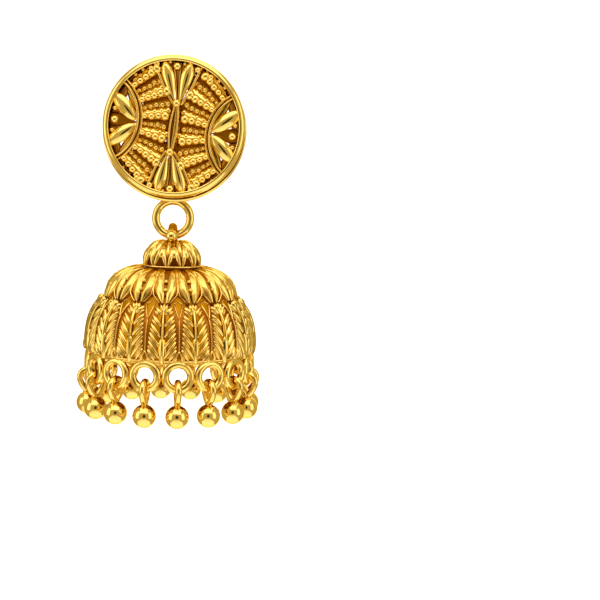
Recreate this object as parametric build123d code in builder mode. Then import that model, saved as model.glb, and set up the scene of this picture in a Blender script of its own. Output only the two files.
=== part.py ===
from build123d import *
from math import cos, radians, sin, sqrt
import os

# Jhumka earring in millimetres: a round openwork stud, a link ring, a domed bell
# and sixteen ball drops. +Z is up and -Y faces the viewer. The origin is the centre
# of the stud's back face, where the ear post leaves it along +Y.

# Stud disc
stud_radius = 10.0
stud_depth = 2.6
rim_width = 0.95
rim_round = 0.42
flange_depth = 0.6
flange_step = 0.12
pattern_turn = -6.5

# Filigree set into the rim
lattice_back = 0.3
lattice_depth = 1.3
leaf_depth = 1.9
wire_width = 0.5
arc_centre = 11.55
arc_radius = 6.75
spine_half_length = 3.37
spine_width = 1.1
rung_angles = (-43.75, -26.25, -8.75, 8.75, 26.25, 43.75)
rung_width = 0.75
trumpet_foot = (0.35, 3.4)
trumpet_waist = (1.65, 6.5)
trumpet_mouth = (3.75, 8.95)
granule_radius = 0.6

# Ear post
post_radius = 0.45
post_length = 10.5
post_pad_radius = 1.9
post_pad_depth = 0.5

# Solder seam left open between neighbouring pieces
seam = 0.1

# Link ring, standing just behind the disc's lower edge
link_wire_radius = 0.55
link_mean_radius = 2.4
link_z = -12.6
bell_y = link_wire_radius + seam

# Cap and its loop, which goes round the link ring's lowest wire
loop_wire_radius = 0.55
loop_hole_radius = 0.75
loop_play = 0.1
cap_apex_z = -15.8
cap_base_z = -19.4
cap_base_radius = 4.12
shell = 0.6

# Crown
crown_top_z = cap_base_z - seam
crown_top_radius = 3.5
crown_edge_z = -23.75
crown_edge_radius = 9.42
notch_width = 1.9
notch_height = 1.25

# Skirt
collar_radius = 8.35
collar_top_z = -22.95
skirt_base_z = -31.15
ear_relief_height = 0.5
ear_top_z = -24.05
ear_base_z = -31.0
ear_head_half = 0.75
ear_top_half = 1.2
ear_mid_half = 1.75
ear_base_half = 1.95

# Rim wire and its row of soldered rings
repeat_count = 16
rim_wire_radius = 0.25
rim_wire_mean_radius = 11.36
row_radius = 11.4
row_ring_wire_radius = 0.375
row_ring_mean_radius = 1.625
row_z = -33.5
bridge_radius = 0.24
bridge_reach = 0.42

# Drops
eye_wire_radius = 0.4
eye_mean_radius = 1.15
eye_play = 0.08
pinch_z = -37.3
ball_radius = 1.5
ball_z = -38.9

# Places worked out from the sizes above
repeat_angle = 360 / repeat_count
hinge_z = link_z - link_mean_radius
rim_wire_z = skirt_base_z - seam - rim_wire_radius
bell_axis = Axis((0, bell_y, 0), (0, 0, 1))
lattice_plane = Plane(
    origin=(0, -lattice_back, 0),
    x_dir=(cos(radians(pattern_turn)), 0, sin(radians(pattern_turn))),
    z_dir=(0, -1, 0),
)


def outward_plane(angle):
    """Plane through the bell's axis whose normal points outwards at an angle from -Y."""
    turn = radians(angle)
    return Plane(
        origin=(0, bell_y, 0),
        x_dir=(cos(turn), sin(turn), 0),
        z_dir=(sin(turn), -cos(turn), 0),
    )


def radial_plane(angle):
    """Plane that holds the bell's axis, with x outwards at an angle from -Y and y up."""
    turn = radians(angle)
    return Plane(
        origin=(0, bell_y, 0),
        x_dir=(sin(turn), -cos(turn), 0),
        z_dir=(-cos(turn), -sin(turn), 0),
    )


def draw_leaf(foot, tip, half_width):
    """Add a pointed leaf outline between two points to the open sketch."""
    foot_point = Vector(*foot)
    tip_point = Vector(*tip)
    along = tip_point - foot_point
    across = Vector(-along.Y, along.X).normalized() * half_width
    middle = (foot_point + tip_point) * 0.5
    with BuildLine() as outline:
        ThreePointArc(foot_point, middle + across, tip_point)
        ThreePointArc(tip_point, middle - across, foot_point)
    make_face(outline.edges())


def cut_trumpet_field():
    """Take the area between each pair of trumpet wires out of the open sketch."""
    for end in (1, -1):
        left = [(-x, end * y) for x, y in (trumpet_foot, trumpet_waist, trumpet_mouth)]
        right = [(x, end * y) for x, y in (trumpet_foot, trumpet_waist, trumpet_mouth)]
        with BuildLine() as outline:
            ThreePointArc(*left)
            Line(left[2], right[2])
            ThreePointArc(*reversed(right))
            Line(right[0], left[0])
        make_face(outline.edges(), mode=Mode.SUBTRACT)


def draw_trumpet_wires():
    """Add the four flaring border wires to the open sketch."""
    for side in (1, -1):
        for end in (1, -1):
            points = [(side * x, end * y) for x, y in (trumpet_foot, trumpet_waist, trumpet_mouth)]
            with BuildLine() as wire:
                ThreePointArc(*points)
            trace(wire.edges(), line_width=wire_width)


def draw_rungs():
    """Add the bars that fan out from both side arcs to the open sketch."""
    for side in (1, -1):
        for angle in rung_angles:
            turn = radians(angle)
            reach = arc_centre / cos(turn)
            middle = (arc_radius + reach) / 2
            place = (side * (arc_centre - middle * cos(turn)), middle * sin(turn))
            with Locations(Location(place, -side * angle)):
                Rectangle(reach - arc_radius, rung_width)


def shell_profile(outer, inner):
    """Close an outer and an inner run of points into a wall section in the open sketch."""
    with BuildLine() as outline:
        Spline(*outer)
        Line(outer[-1], inner[-1])
        Spline(*reversed(inner))
        Line(inner[0], outer[0])
    make_face(outline.edges())


# Stud disc: rolled rim with a thin flange at the back
with BuildPart() as stud_disc:
    with BuildSketch(Plane.XY):
        with Locations((stud_radius - flange_step - rim_width / 2, -stud_depth / 2)):
            RectangleRounded(rim_width, stud_depth, rim_round)
        with Locations((stud_radius - rim_width / 2, -flange_depth / 2)):
            RectangleRounded(rim_width, flange_depth, flange_step)
    revolve(axis=Axis.Y)
    # Side arcs, rungs, spine and trumpet wires, trimmed to the rim
    with BuildSketch(lattice_plane):
        with Locations((arc_centre, 0), (-arc_centre, 0)):
            Circle(arc_radius + wire_width / 2)
            Circle(arc_radius - wire_width / 2, mode=Mode.SUBTRACT)
        draw_rungs()
        cut_trumpet_field()
        draw_trumpet_wires()
        Rectangle(spine_width, 2 * spine_half_length)
        Circle(stud_radius - rim_width, mode=Mode.INTERSECT)
    extrude(amount=lattice_depth)
    # Leaves in the trumpets and in the side segments
    with BuildSketch(lattice_plane):
        for end in (1, -1):
            for side in (1, -1):
                draw_leaf((side * 0.5, end * 3.6), (side * 1.85, end * 9.15), 0.7)
                draw_leaf((side * 5.2, end * 0.1), (side * 8.4, end * 3.75), 0.85)
    extrude(amount=leaf_depth)
    # Large granules: spine ends, trumpet mouths and side segments
    with Locations(lattice_plane.offset(lattice_depth)):
        with Locations(
            (0, spine_half_length),
            (0, -spine_half_length),
            (0, stud_radius - rim_width - granule_radius / 2),
            (0, -(stud_radius - rim_width - granule_radius / 2)),
            (stud_radius - rim_width - granule_radius / 2, 0),
            (-(stud_radius - rim_width - granule_radius / 2), 0),
        ):
            Sphere(granule_radius)
    # Pad at the back that carries the post
    with BuildSketch(Plane.XZ):
        Circle(post_pad_radius)
    extrude(amount=lattice_back + post_pad_depth)
stud_disc.part.label = "stud_disc"

# Plain ear post
with BuildPart() as ear_post:
    with BuildSketch(Plane.XZ.offset(-seam)):
        Circle(post_radius)
    extrude(amount=-(post_length - seam))
    fillet(ear_post.edges().sort_by(Axis.Y)[-1], post_radius * 0.8)
ear_post.part.label = "ear_post"

# Link ring
with BuildPart() as link_ring:
    with Locations(Location((0, bell_y, link_z), (90, 0, 0))):
        Torus(link_mean_radius, link_wire_radius)
link_ring.part.label = "link_ring"

# Cap: thin dome with its loop
with BuildPart() as bell_cap:
    with BuildSketch(radial_plane(0)):
        shell_profile(
            [(0, cap_apex_z), (2.3, -16.05), (3.68, -17.65), (cap_base_radius, cap_base_z)],
            [
                (0, cap_apex_z - 1.25),
                (2.0, -17.15),
                (3.05, -18.0),
                (cap_base_radius - shell, cap_base_z),
            ],
        )
    revolve(axis=bell_axis)
    loop_mean_radius = loop_hole_radius + loop_wire_radius
    loop_z = hinge_z + link_wire_radius + loop_play - loop_hole_radius
    with Locations(Location((0, bell_y, loop_z), (0, 90, 0))):
        Torus(loop_mean_radius, loop_wire_radius)
bell_cap.part.label = "bell_cap"

# Crown: shallow dome whose lower edge is cut by inverted V notches
with BuildPart() as bell_crown:
    with BuildSketch(radial_plane(0)):
        with BuildLine():
            Line((crown_top_radius, crown_top_z), (4.7, crown_top_z))
            Spline(
                (4.7, crown_top_z),
                (6.31, -19.85),
                (8.29, -21.28),
                (9.2, -22.75),
                (crown_edge_radius, crown_edge_z),
            )
            Line((crown_edge_radius, crown_edge_z), (crown_edge_radius - shell, crown_edge_z))
            Spline(
                (crown_edge_radius - shell, crown_edge_z),
                (8.6, -22.9),
                (7.8, -21.7),
                (6.1, -20.45),
                (4.5, crown_top_z - shell),
            )
            Line((4.5, crown_top_z - shell), (crown_top_radius, crown_top_z - shell))
            Line((crown_top_radius, crown_top_z - shell), (crown_top_radius, crown_top_z))
        make_face()
    revolve(axis=bell_axis)
    for step in range(repeat_count):
        with BuildSketch(outward_plane((step + 0.5) * repeat_angle)):
            with BuildLine():
                Polyline(
                    (-notch_width / 2, crown_edge_z - 0.2),
                    (notch_width / 2, crown_edge_z - 0.2),
                    (0, crown_edge_z + notch_height),
                    close=True,
                )
            make_face()
        extrude(amount=stud_radius, mode=Mode.SUBTRACT)
bell_crown.part.label = "bell_crown"

# Outline of one wheat ear, pushed outwards at each of the sixteen places
with BuildPart() as ear_prisms:
    for step in range(repeat_count):
        with BuildSketch(outward_plane(step * repeat_angle)):
            with BuildLine():
                Polyline(
                    (-ear_base_half, ear_base_z),
                    (ear_base_half, ear_base_z),
                    (ear_mid_half, -27.0),
                    (ear_top_half, -24.9),
                    (ear_head_half, ear_top_z),
                    (-ear_head_half, ear_top_z),
                    (-ear_top_half, -24.9),
                    (-ear_mid_half, -27.0),
                    close=True,
                )
            make_face()
        extrude(amount=row_radius + 2)

# The wheat ears' relief: a band over the skirt, kept only inside those outlines
skirt_outer = [(9.4, -23.97), (10.9, -26.1), (11.55, -28.4), (11.7, -30.4)]
with BuildPart() as ear_relief:
    with BuildSketch(radial_plane(0)):
        shell_profile(
            [(r + ear_relief_height, z) for r, z in skirt_outer],
            [(r - shell / 2, z) for r, z in skirt_outer],
        )
    revolve(axis=bell_axis)
    add(ear_prisms.part, mode=Mode.INTERSECT)

# Skirt: collar tucked inside the crown, domed wall, slight turn-in at the foot
with BuildPart() as bell_skirt:
    with BuildSketch(radial_plane(0)):
        with BuildLine():
            Line((collar_radius, collar_top_z), (collar_radius, crown_edge_z - seam))
            Line((collar_radius, crown_edge_z - seam), skirt_outer[0])
            Spline(*skirt_outer)
            Line(skirt_outer[-1], (11.35, skirt_base_z))
            Line((11.35, skirt_base_z), (11.35 - shell, skirt_base_z))
            Line((11.35 - shell, skirt_base_z), (11.7 - shell, -30.4))
            Spline(
                (11.7 - shell, -30.4),
                (11.55 - shell, -28.4),
                (10.9 - shell, -26.3),
                (9.4 - shell, -24.5),
            )
            Line((9.4 - shell, -24.5), (collar_radius - shell, crown_edge_z - 0.3))
            Line(
                (collar_radius - shell, crown_edge_z - 0.3),
                (collar_radius - shell, collar_top_z),
            )
            Line((collar_radius - shell, collar_top_z), (collar_radius, collar_top_z))
        make_face()
    revolve(axis=bell_axis)
    add(ear_relief.part)
bell_skirt.part.label = "bell_skirt"

# Rim wire with its sixteen rings
with BuildPart() as ring_row:
    with Locations((0, bell_y, rim_wire_z)):
        Torus(rim_wire_mean_radius, rim_wire_radius)
    for step in range(repeat_count):
        with Locations(outward_plane((step + 0.5) * repeat_angle).offset(row_radius)):
            with Locations(Location((0, row_z, 0), (0, 0, 90))):
                Torus(row_ring_mean_radius, row_ring_wire_radius)
    # A bridge of solder on each side joins a ring to the next one
    bridge_row_radius = row_radius / cos(radians(repeat_angle / 2))
    for step in range(repeat_count):
        bridge = outward_plane(step * repeat_angle).offset(bridge_row_radius)
        centre = bridge.from_local_coords((0, row_z, 0))
        with BuildSketch(Plane(origin=centre, z_dir=bridge.x_dir)):
            Circle(bridge_radius)
        extrude(amount=bridge_reach, both=True)
ring_row.part.label = "ring_row"


def make_drop(number):
    """One drop: a teardrop eye in the radial plane, pinched and soldered to its ball."""
    plane = radial_plane((number - 0.5) * repeat_angle)
    ring_top_z = row_z - row_ring_mean_radius + row_ring_wire_radius
    eye_z = ring_top_z + eye_play + eye_wire_radius - eye_mean_radius
    pinch_depth = eye_z - pinch_z
    side_x = eye_mean_radius * sqrt(1 - (eye_mean_radius / pinch_depth) ** 2)
    side_z = eye_z - eye_mean_radius**2 / pinch_depth
    foot = (row_radius, pinch_z)
    with BuildPart() as drop:
        with BuildLine(plane) as long_side:
            Line(foot, (row_radius + side_x, side_z))
            ThreePointArc(
                (row_radius + side_x, side_z),
                (row_radius, eye_z + eye_mean_radius),
                (row_radius - side_x, side_z),
            )
        with BuildSketch(Plane(origin=long_side.line @ 0, z_dir=long_side.line % 0)):
            Circle(eye_wire_radius)
        sweep()
        with BuildLine(plane) as short_side:
            Line((row_radius - side_x, side_z), foot)
        with BuildSketch(Plane(origin=short_side.line @ 0, z_dir=short_side.line % 0)):
            Circle(eye_wire_radius)
        sweep()
        with Locations(plane.from_local_coords((row_radius, ball_z, 0))):
            Sphere(ball_radius)
        with Locations(plane.from_local_coords((row_radius, pinch_z, 0))):
            Sphere(eye_wire_radius * 1.1)
    drop.part.label = f"drop_{number:02d}"
    return drop.part


os.makedirs("parts", exist_ok=True)
pieces = [stud_disc, ear_post, link_ring, bell_cap, bell_crown, bell_skirt, ring_row]
for piece in pieces:
    export_step(piece.part, f"parts/{piece.part.label}.step")
for number in range(1, repeat_count + 1):
    drop_part = make_drop(number)
    export_step(drop_part, f"parts/{drop_part.label}.step")
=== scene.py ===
import logging
import math
import random
from dataclasses import dataclass, field
from enum import IntEnum
from typing import Callable, Sequence

import bmesh
import bpy
import numpy as np
from mathutils import Matrix, Vector


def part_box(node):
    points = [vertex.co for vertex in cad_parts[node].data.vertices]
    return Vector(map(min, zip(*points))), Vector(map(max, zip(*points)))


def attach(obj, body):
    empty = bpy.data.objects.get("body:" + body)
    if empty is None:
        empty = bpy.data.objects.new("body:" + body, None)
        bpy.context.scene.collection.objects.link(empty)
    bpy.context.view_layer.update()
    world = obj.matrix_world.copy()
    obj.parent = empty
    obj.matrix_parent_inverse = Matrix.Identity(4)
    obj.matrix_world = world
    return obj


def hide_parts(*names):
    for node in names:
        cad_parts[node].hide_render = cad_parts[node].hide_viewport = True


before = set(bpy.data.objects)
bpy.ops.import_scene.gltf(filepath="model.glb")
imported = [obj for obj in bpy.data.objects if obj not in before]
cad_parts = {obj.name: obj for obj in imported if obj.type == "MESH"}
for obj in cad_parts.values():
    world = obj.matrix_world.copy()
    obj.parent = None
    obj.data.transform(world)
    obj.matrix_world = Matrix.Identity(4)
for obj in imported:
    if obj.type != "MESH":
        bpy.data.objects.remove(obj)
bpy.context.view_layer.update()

MM = 0.001
FULL_TURN = 2 * math.pi
REPEATS = 16
REPEAT_ANGLE = FULL_TURN / REPEATS
# Each vertex carries a relief value, mostly its share of its motif's height; the finishes paint low
# relief darker as shade.
RELIEF = "relief"
UP = Vector((0, 0, 1))
FRONT = Vector((0, -1, 0))
RIGHT = Vector((1, 0, 0))
AT_POLE = 1e-5  # a point of a unit ball this near its axis counts as a pole
MERGE_DISTANCE = 1e-4  # millimetres
SLIVER = 1e-5  # millimetres
BEAD_REST = 0.8  # height of a granule's middle over the plane, in its own radii
GRANULE_PITCH = 0.86  # millimetres
BLUNTING = 12.0  # how quickly a round wire reaches its full width from its end

log = logging.getLogger("jhumka")
Place = Callable[[Vector], Vector]


class Metal(IntEnum):
    """State of the gold on a face, or the painted shade put on it, in the order of a piece's materials.
    """

    POLISHED = 0
    CAST = 1
    SHADED_SATIN = 2
    PAINTED_SHADE = 3


@dataclass(frozen=True)
class NodeBox:
    """Box of a fixed node at rest, in millimetres."""

    low: Vector
    high: Vector

    @classmethod
    def read(cls, node: str) -> "NodeBox":
        """Read a node's box from the frame."""
        low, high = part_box(node)
        return cls(low / MM, high / MM)

    @property
    def centre(self) -> Vector:
        """Middle of the box."""
        return (self.low + self.high) / 2

    @property
    def size(self) -> Vector:
        """Extents of the box."""
        return self.high - self.low


# ---------------------------------------------------------------- shader maths


class Signal:
    """A number or colour that flows between shader nodes, with plain arithmetic on it."""

    def __init__(self, recipe: "Recipe", socket: bpy.types.NodeSocket) -> None:
        """Wrap an output socket of a recipe's node tree."""
        self.recipe = recipe
        self.socket = socket

    def _maths(self, operation: str, first: object, second: object) -> "Signal":
        """Add one Math node that takes two values or signals."""
        return self.recipe.node("ShaderNodeMath", {"operation": operation}, {0: first, 1: second})

    def __add__(self, other: object) -> "Signal":
        """Sum."""
        return self._maths("ADD", self, other)

    __radd__ = __add__

    def __sub__(self, other: object) -> "Signal":
        """Difference."""
        return self._maths("SUBTRACT", self, other)

    def __mul__(self, other: object) -> "Signal":
        """Product."""
        return self._maths("MULTIPLY", self, other)


class Recipe:
    """One material's node tree, built node by node."""

    def __init__(self, name: str) -> None:
        """Start an empty material with an output node.

        Args:
            name: the material's name.
        """
        self.material = bpy.data.materials.new(name)
        self.material.use_nodes = True
        self.tree = self.material.node_tree
        self.tree.nodes.clear()
        self.output = self.tree.nodes.new("ShaderNodeOutputMaterial")

    def node(
        self, kind: str, settings: dict[str, object], inputs: dict[object, object], result: object = 0
    ) -> Signal:
        """Add a node of any type.

        Args:
            kind: the node's type.
            settings: its properties, set first; "stops" fills a colour ramp.
            inputs: socket names or numbers with their values or signals.
            result: name or number of the output that is returned.

        Returns:
            The chosen output as a signal.
        """
        made = self.tree.nodes.new(kind)
        for key, value in settings.items():
            if key == "stops":
                self._fill_ramp(made.color_ramp, value)
            else:
                setattr(made, key, value)
        for key, value in inputs.items():
            if isinstance(value, Signal):
                self.tree.links.new(value.socket, made.inputs[key])
            else:
                made.inputs[key].default_value = value
        return Signal(self, made.outputs[result])

    @staticmethod
    def _fill_ramp(ramp: bpy.types.ColorRamp, stops: Sequence[tuple[float, float]]) -> None:
        """Set a grey ramp's stops.

        Args:
            ramp: the ramp to fill.
            stops: pairs of position and grey level.
        """
        while len(ramp.elements) < len(stops):
            ramp.elements.new(0.5)
        for element, (position, level) in zip(ramp.elements, stops):
            element.position = position
            element.color = (level, level, level, 1)

    def blend_colours(self, factor: object, first: object, second: object) -> Signal:
        """Mix two colours.

        Args:
            factor: share of the second colour.
            first: colour where the factor is 0.
            second: colour where the factor is 1.

        Returns:
            The mixed colour.
        """
        return self.node(
            "ShaderNodeMix",
            {"data_type": "RGBA"},
            {"Factor": factor, 6: first, 7: second},
            2,
        )

    def noise(self, scale: float, detail: float, stretch: tuple[float, float, float]) -> Signal:
        """Noise over the piece's own coordinates.

        Args:
            scale: cells per metre.
            detail: octaves.
            stretch: scale along each axis.

        Returns:
            The noise value.
        """
        place = self.node("ShaderNodeTexCoord", {}, {}, "Object")
        mapped = self.node("ShaderNodeMapping", {}, {"Vector": place, "Scale": stretch})
        return self.node("ShaderNodeTexNoise", {}, {"Vector": mapped, "Scale": scale, "Detail": detail})

    def close(self, shader: Signal) -> bpy.types.Material:
        """Wire a shader to the surface and hand the material over."""
        self.tree.links.new(shader.socket, self.output.inputs["Surface"])
        return self.material


@dataclass(frozen=True)
class GoldFinish:
    """Yellow gold, brighter and smoother on raised metal; low relief is painted darker and redder as
    shade, in recesses.

    Attributes:
        name: the material's name.
        bright: colour of raised metal.
        deep: painted shade colour of the recesses.
        polish: roughness of raised metal.
        hollow_roughness: roughness of the hollows.
        grain: strength of the fine bumps.
        coat: weight of the clear coat.
    """

    name: str
    bright: tuple[float, float, float, float]
    deep: tuple[float, float, float, float]
    polish: float
    hollow_roughness: float
    grain: float
    coat: float

    def make(self) -> bpy.types.Material:
        """Build the finish's material.

        Returns:
            A material that reads the piece's relief attribute and object coordinates.
        """
        recipe = Recipe(self.name)
        relief = recipe.node(
            "ShaderNodeAttribute", {"attribute_name": RELIEF, "attribute_type": "GEOMETRY"}, {}, "Fac"
        )
        cloud = recipe.noise(scale=420, detail=3, stretch=(1, 1, 1))
        grain = recipe.noise(scale=5200, detail=2, stretch=(1, 1, 1))
        scratch = recipe.noise(scale=1900, detail=4, stretch=(1, 1, 5))
        depth = relief + (cloud - 0.5) * 0.3
        # Painted shade: low relief, with a little noise, pulls the colour towards deep and the roughness
        # up.
        hollow_shade = recipe.node("ShaderNodeValToRGB", {"stops": ((0.0, 1.0), (0.55, 0.0))}, {"Fac": depth})
        worn = recipe.node("ShaderNodeValToRGB", {"stops": ((0.42, 0.0), (0.66, 1.0))}, {"Fac": cloud})
        warm = tuple((a * 0.75 + b * 0.25) for a, b in zip(self.bright, self.deep))
        surface = recipe.blend_colours(worn * 0.35, self.bright, warm)
        colour = recipe.blend_colours(hollow_shade, surface, self.deep)
        roughness = self.polish + hollow_shade * (self.hollow_roughness - self.polish) + scratch * 0.05
        bump = recipe.node(
            "ShaderNodeBump",
            {},
            {"Strength": self.grain, "Distance": 0.00002, "Height": grain * 0.6 + scratch * 0.4},
        )
        shader = recipe.node(
            "ShaderNodeBsdfPrincipled",
            {},
            {
                "Base Color": colour,
                "Metallic": 1.0,
                "Roughness": roughness,
                "Coat Weight": self.coat,
                "Coat Roughness": 0.05,
                "Specular Tint": (0.82, 0.56, 0.14, 1),
                "Normal": bump,
            },
        )
        return recipe.close(shader)


# In each finish, deep is the painted shade colour that is given to low relief.
POLISHED = GoldFinish(
    "polished_gold",
    bright=(0.94, 0.7, 0.2, 1),
    deep=(0.5, 0.2, 0.008, 1),
    polish=0.1,
    hollow_roughness=0.3,
    grain=0.05,
    coat=0.14,
)
CAST = GoldFinish(
    "cast_gold",
    bright=(0.94, 0.69, 0.18, 1),
    deep=(0.4, 0.135, 0.003, 1),
    polish=0.19,
    hollow_roughness=0.38,
    grain=0.13,
    coat=0.1,
)
# Rough gold: its roughness is a real matte finish, and its dark orange colour is painted shade for
# recessed and tucked-in parts.
SHADED_SATIN = GoldFinish(
    "shaded_satin_gold",
    bright=(0.47, 0.21, 0.005, 1),
    deep=(0.4, 0.14, 0.003, 1),
    polish=0.42,
    hollow_roughness=0.48,
    grain=0.4,
    coat=0.0,
)
# Dark brown gold for walls, plates, strips and dots set where there is only shade: it paints that shade.
PAINTED_SHADE = GoldFinish(
    "painted_shade",
    bright=(0.48, 0.19, 0.006, 1),
    deep=(0.13, 0.034, 0.001, 1),
    polish=0.38,
    hollow_roughness=0.5,
    grain=0.4,
    coat=0.0,
)


# ---------------------------------------------------------------- lines to follow


class Line3:
    """A smooth line through a few points, measured along its own length."""

    SAMPLES = 240

    def __init__(self, points: Sequence[Sequence[float]]) -> None:
        """Fit a Catmull-Rom line.

        Args:
            points: points of two or three numbers, in order.
        """
        ends = np.array(points, float)
        before = 2 * ends[0] - ends[1]
        after = 2 * ends[-1] - ends[-2]
        knots = np.vstack([before, ends, after])
        spans = len(ends) - 1
        steps = np.linspace(0, spans, self.SAMPLES)
        index = np.minimum(steps.astype(int), spans - 1)
        t = (steps - index)[:, None]
        a, b, c, d = (knots[index + k] for k in range(4))
        self.points = 0.5 * (
            2 * b + (c - a) * t + (2 * a - 5 * b + 4 * c - d) * t**2 + (3 * b - a - 3 * c + d) * t**3
        )
        hops = np.linalg.norm(np.diff(self.points, axis=0), axis=1)
        self.run = np.concatenate([[0], np.cumsum(hops)])
        self.slopes = np.gradient(self.points, axis=0)

    @property
    def length(self) -> float:
        """Length of the line."""
        return float(self.run[-1])

    def at(self, distance: float) -> tuple[np.ndarray, np.ndarray]:
        """Find a point on the line.

        Args:
            distance: how far along the line, carried on straight past its ends.

        Returns:
            The point and the unit direction of the line there.
        """
        inside = min(max(distance, 0.0), self.length)
        point = np.array([np.interp(inside, self.run, axis) for axis in self.points.T])
        slope = np.array([np.interp(inside, self.run, axis) for axis in self.slopes.T])
        slope /= np.linalg.norm(slope)
        return point + slope * (distance - inside), slope


class Dome(Line3):
    """Outline of a round wall from top to foot, and the way flat motifs wrap onto it."""

    NARROWEST = 0.3

    def __init__(self, points: Sequence[tuple[float, float]], axis_y: float) -> None:
        """Fit the outline through (radius, height) points about an upright axis."""
        super().__init__(points)
        self.axis_y = axis_y

    def place(self, angle: float, start: float = 0.0) -> Place:
        """Wrap a flat motif onto the wall.

        Args:
            angle: where the motif's middle line stands, from the front.
            start: distance from the wall's top to the motif's own start.

        Returns:
            A function from (across, down, out) to the motif's place.
        """

        def put(point: Vector) -> Vector:
            """Place one point.

            Args:
                point: across, down and out.

            Returns:
                Its place on the wall.
            """
            (radius, height), (along_r, along_z) = self.at(start + point.y)
            turn = angle + point.x / max(radius, self.NARROWEST)
            reach = radius - along_z * point.z
            return Vector(
                (
                    reach * math.sin(turn),
                    self.axis_y - reach * math.cos(turn),
                    height + along_r * point.z,
                )
            )

        return put

    def run_to(self, height: float) -> float:
        """Distance along the outline to a height."""
        return float(np.interp(-height, -self.points[:, 1], self.run))

    def points_to(self, end: float, count: int) -> list[tuple[float, float]]:
        """Pick evenly spaced points of the outline, from its top to a distance along it."""
        return [tuple(self.at(run)[0]) for run in np.linspace(0, end, count)]


def follow(line: Line3) -> Place:
    """Bend a motif along a flat line.

    Args:
        line: a line of (x, y) points.

    Returns:
        A function from (across, along, out) to the bent motif.
    """

    def put(point: Vector) -> Vector:
        """Place one point."""
        (x, y), (dx, dy) = line.at(point.y)
        return Vector((x + dy * point.x, y - dx * point.x, point.z))

    return put


def lay(foot: Sequence[float], tip: Sequence[float], lift: float = 0.0) -> Place:
    """Lay a motif straight from one flat point towards another.

    Args:
        foot: where the motif starts.
        tip: the point it heads for.
        lift: height added to it.

    Returns:
        A function from (across, along, out) to the laid motif.
    """
    along = Vector((tip[0] - foot[0], tip[1] - foot[1])).normalized()

    def put(point: Vector) -> Vector:
        """Place one point.

        Args:
            point: across, along and out.

        Returns:
            Its place in the flat pattern.
        """
        return Vector(
            (
                foot[0] + along.x * point.y + along.y * point.x,
                foot[1] + along.y * point.y - along.x * point.x,
                point.z + lift,
            )
        )

    return put


def shift(x: float, y: float, z: float) -> Place:
    """Slide a motif by fixed amounts."""
    step = Vector((x, y, z))
    return lambda point: point + step


def trim(length: float) -> Place:
    """Cut a motif off square at a length."""
    return lambda point: Vector((point.x, min(point.y, length), point.z))


def chain(*places: Place) -> Place:
    """Join placing functions.

    Args:
        places: the functions, the first one applied first.

    Returns:
        One function that does them all.
    """

    def put(point: Vector) -> Vector:
        """Place one point through each in turn.

        Args:
            point: a point of the flat motif.

        Returns:
            Its place after the last function.
        """
        for place in places:
            point = place(point)
        return point

    return put


# ---------------------------------------------------------------- motifs


@dataclass(frozen=True)
class Seed:
    """A closed slender motif: leaf, grain, wire or bar, lying along +Y from 0 to its length.

    Attributes:
        length: how long it is.
        half_width: greatest distance of its edge from the middle line.
        height: how far its back stands over the plane.
        depth: how far its underside reaches below the plane.
        ridge: shape of its back; low numbers are sharp, high ones flat.
        fullness: shape of its outline; low numbers are full, high ones lean.
        belly: where it is widest; over 1 nearer the far end, under 1 nearer the start.
        blunt: 0 for ends that taper, near 1 for square ones.
        around: steps round it.
        along: steps along it.
    """

    length: float
    half_width: float
    height: float
    depth: float = 0.1
    ridge: float = 2.0
    fullness: float = 0.75
    belly: float = 1.0
    blunt: float = 0.0
    around: int = 12
    along: int = 14

    def half_width_at(self, share: float) -> float:
        """Half width at a share of the length, from 0 to 1."""
        swell = math.sin(math.pi * min(max(share, 0.0), 1.0) ** self.belly)
        return self.half_width * max(swell, 0.0) ** self.fullness

    def draw(self) -> bpy.types.Mesh:
        """Shape the motif from a ball.

        Returns:
            A flat mesh in millimetres.
        """
        shape = lying_ball(self.around, self.along)
        for vert in shape.verts:
            belt = math.hypot(vert.co.x, vert.co.z)
            side, top = (vert.co.x / belt, vert.co.z / belt) if belt > AT_POLE else (0.0, 0.0)
            angle_share = math.acos(min(max(-vert.co.y, -1), 1)) / math.pi
            share = angle_share * (1 - self.blunt) + self.blunt * (vert.co.y + 1) / 2
            swell = self.half_width_at(share)
            if self.blunt:
                swell = self.half_width * (belt ** (1 - self.blunt) if belt > AT_POLE else 0)
            rise = 1 - abs(side) ** self.ridge
            lift = self.height * rise if top >= 0 else -self.depth * abs(top)
            vert.co = Vector((side * swell, share * self.length, lift * swell / self.half_width))
        return to_mesh(shape)


def lying_ball(around: int, along: int) -> bmesh.types.BMesh:
    """Start a unit ball with its poles along Y.

    Args:
        around: steps round the poles' axis.
        along: steps from pole to pole.

    Returns:
        The ball as a bmesh.
    """
    shape = bmesh.new()
    bmesh.ops.create_uvsphere(
        shape,
        u_segments=around,
        v_segments=along,
        radius=1,
        matrix=Matrix.Rotation(math.pi / 2, 4, "X"),
    )
    return shape


def to_mesh(shape: bmesh.types.BMesh, name: str = "motif") -> bpy.types.Mesh:
    """Turn a finished bmesh into a mesh and free it.

    Args:
        shape: the bmesh.
        name: name of the mesh.

    Returns:
        The mesh.
    """
    mesh = bpy.data.meshes.new(name)
    shape.to_mesh(mesh)
    shape.free()
    return mesh


def bead(radius: float, detail: int = 2) -> bpy.types.Mesh:
    """Shape a round granule that is sunk a little into the flat plane.

    Args:
        radius: its radius.
        detail: how finely the ball is divided.

    Returns:
        A flat mesh in millimetres.
    """
    shape = bmesh.new()
    bmesh.ops.create_icosphere(
        shape, subdivisions=detail, radius=radius, matrix=Matrix.Translation((0, 0, radius * BEAD_REST))
    )
    return to_mesh(shape)


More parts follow.
